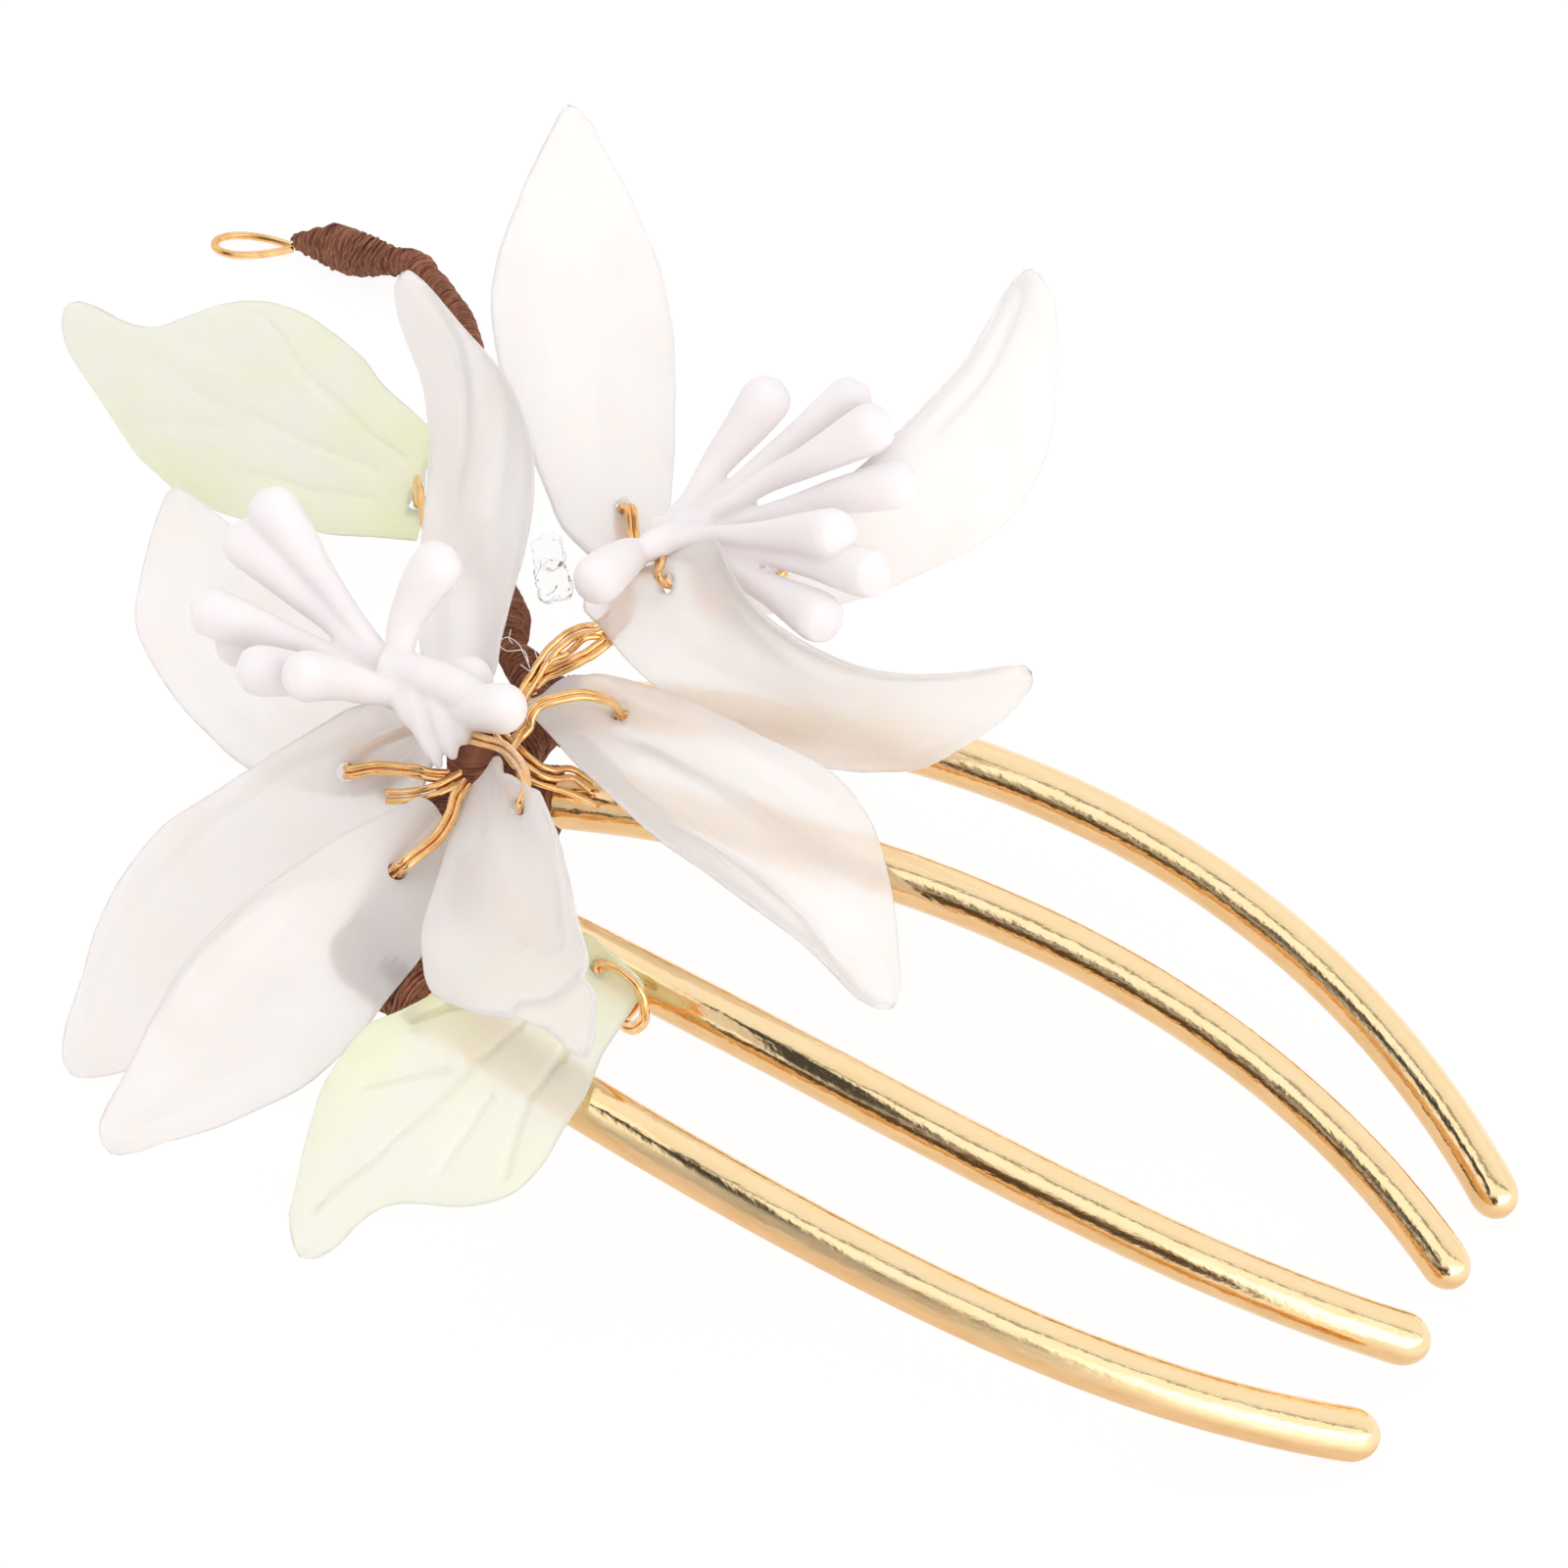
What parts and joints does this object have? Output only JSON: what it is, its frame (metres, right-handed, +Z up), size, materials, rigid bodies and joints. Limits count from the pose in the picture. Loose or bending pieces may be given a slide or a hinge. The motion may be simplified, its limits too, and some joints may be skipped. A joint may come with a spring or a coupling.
{
  "type": "floral four-tine hair comb",
  "caption": "Gold hair comb with bowed round tines on one bar, dressed with milky petals on wires, white stamens and pale green leaves.",
  "frame": {"origin": "middle of the piece's footprint on the surface it rests on", "axes": "+X along the tines from the bar to the tips, +Y across the comb towards the twig, +Z up from the surface"},
  "size_m": [0.1142, 0.0876, 0.0344],
  "materials": {
    "gold": "polished pale gold plating",
    "copper_wire": "bright copper-gold wire",
    "thread": "wound brown thread",
    "petal": "milky translucent, softly polished",
    "leaf": "pale green translucent, moulded veins",
    "stamen": "matte white",
    "glue": "clear glue"
  },
  "bodies": {
    "root": {"comb": "gold", "bar_wrap": "thread", "twig": "thread", "twig_loop": "copper_wire", "left_stem": "thread", "right_stem": "copper_wire", "petal_left_1": "petal", "petal_left_2": "petal", "petal_left_3": "petal", "petal_left_4": "petal", "petal_left_5": "petal", "petal_left_6": "petal", "petal_right_1": "petal", "petal_right_2": "petal", "petal_right_3": "petal", "wire_left_1": "copper_wire", "wire_left_2": "copper_wire", "wire_left_3": "copper_wire", "wire_left_4": "copper_wire", "wire_left_5": "copper_wire", "wire_left_6": "copper_wire", "wire_right_1": "copper_wire", "wire_right_2": "copper_wire", "wire_right_3": "copper_wire", "leaf_back": "leaf", "leaf_front": "leaf", "wire_leaf_back": "copper_wire", "wire_leaf_front": "copper_wire", "stamens_left": "stamen", "stamens_right": "stamen", "glue_drop": "glue"}
  },
  "joints": []
}
